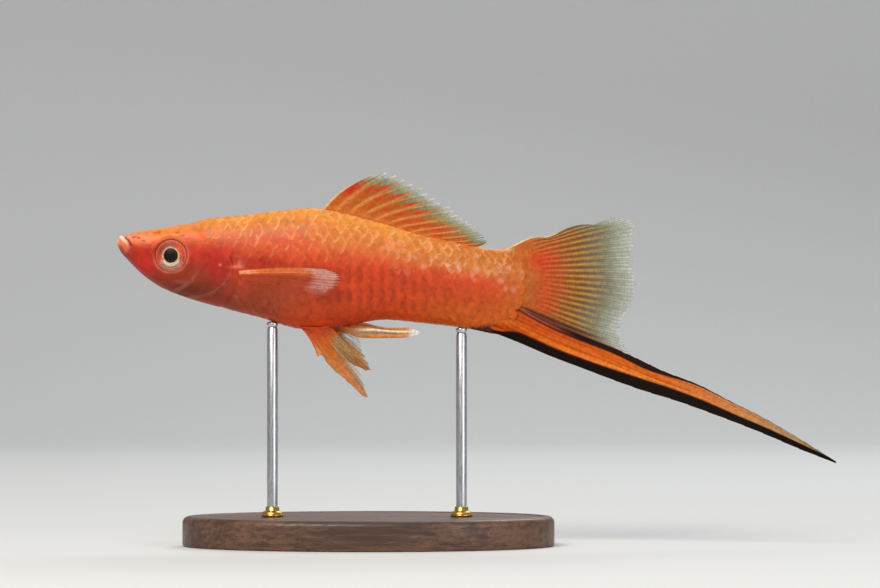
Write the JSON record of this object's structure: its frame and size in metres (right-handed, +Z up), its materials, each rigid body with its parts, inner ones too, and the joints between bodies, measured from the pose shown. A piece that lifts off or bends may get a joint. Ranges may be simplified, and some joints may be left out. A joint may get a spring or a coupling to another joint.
{
  "type": "swordtail fish",
  "caption": "Life-size still model of a male swordtail fish with a raked back fin and a long pointed sword on its tail, held over an oval base by slim upright rods.",
  "frame": {"origin": "on the floor under the stand, at the middle of the whole length from the snout to the tip of the sword", "axes": "+X towards the tip of the sword, so the head points to -X; +Y to the fish's right, so the left flank faces -Y; +Z up"},
  "size_m": [0.12, 0.036, 0.0623],
  "materials": {
    "skin": "scaled orange-red skin, wet gloss",
    "head_skin": "smooth red skin, wet gloss",
    "eye": "polished dark",
    "fin": "thin orange rays and clear web",
    "sword": "orange rays with a black border",
    "base_wood": "satin dark walnut",
    "rod_steel": "satin"
  },
  "bodies": {
    "root": {"head": "head_skin", "lower_jaw": "head_skin", "gill_cover_left": "head_skin", "gill_cover_right": "head_skin", "eye_left": "eye", "eye_right": "eye", "trunk_front": "skin", "trunk_rear": "skin", "tail_stalk": "skin", "dorsal_fin": "fin", "pectoral_fin_left": "fin", "pectoral_fin_right": "fin", "pelvic_fin_left": "fin", "pelvic_fin_right": "fin", "gonopodium": "fin", "tail_fan": "fin", "tail_sword": "sword", "stand_base": "base_wood", "stand_rod_front": "rod_steel", "stand_rod_rear": "rod_steel"}
  },
  "joints": []
}
